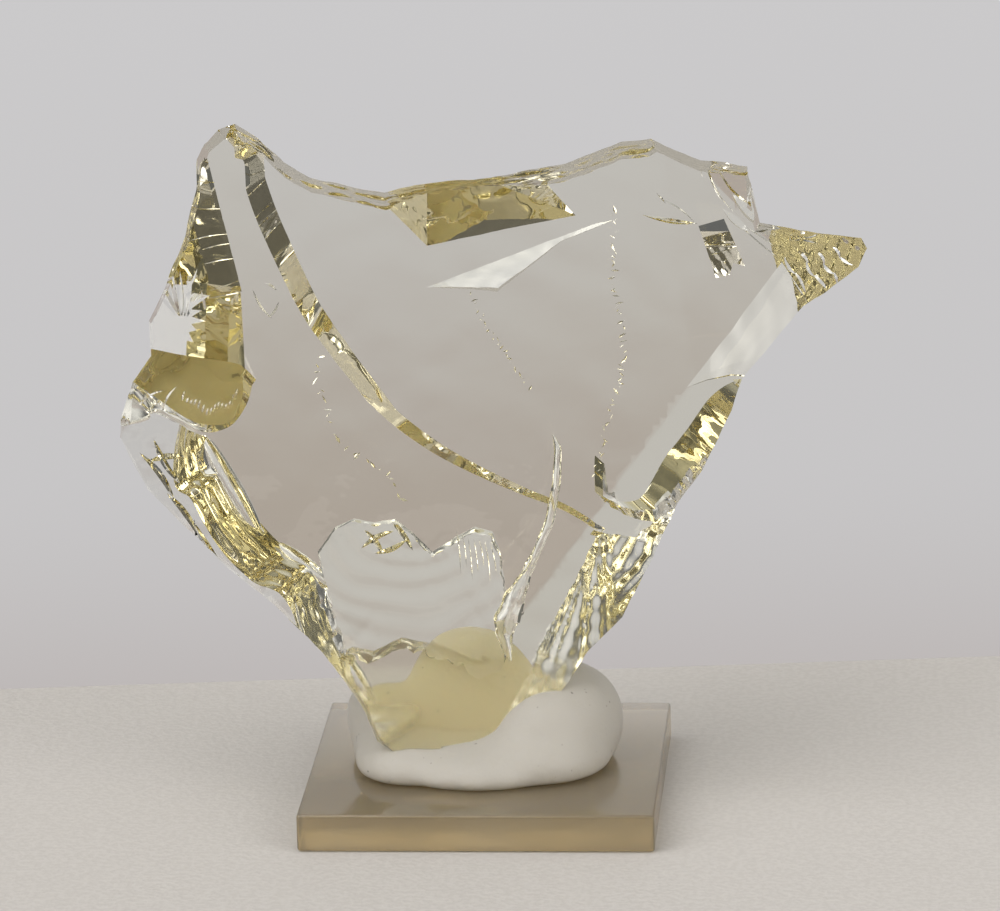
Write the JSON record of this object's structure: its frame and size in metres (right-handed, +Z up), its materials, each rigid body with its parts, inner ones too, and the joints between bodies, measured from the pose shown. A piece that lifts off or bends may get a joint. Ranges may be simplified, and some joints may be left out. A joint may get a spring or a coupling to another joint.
{
  "type": "andara crystal",
  "caption": "Broken shard of clear pale yellow glass, gripped upright by a lump of white putty on a square clear acrylic base.",
  "frame": {"origin": "centre of the underside of the square base", "axes": "+Z up, +X along the shard's width to the right of its best face, -Y the side that the best face looks to"},
  "size_m": [0.0806, 0.0382, 0.0751],
  "materials": {
    "crystal_glass": "clear pale yellow glass with sharp broken facets, ripples and splintered ledges",
    "display_putty": "warm white pressed putty with a soft sheen and a few tiny specks",
    "clear_acrylic": "polished see-through acrylic with a faint amber tint and small bevelled edges"
  },
  "bodies": {
    "root": {"crystal": "crystal_glass", "putty": "display_putty", "base_plate": "clear_acrylic"}
  },
  "joints": []
}
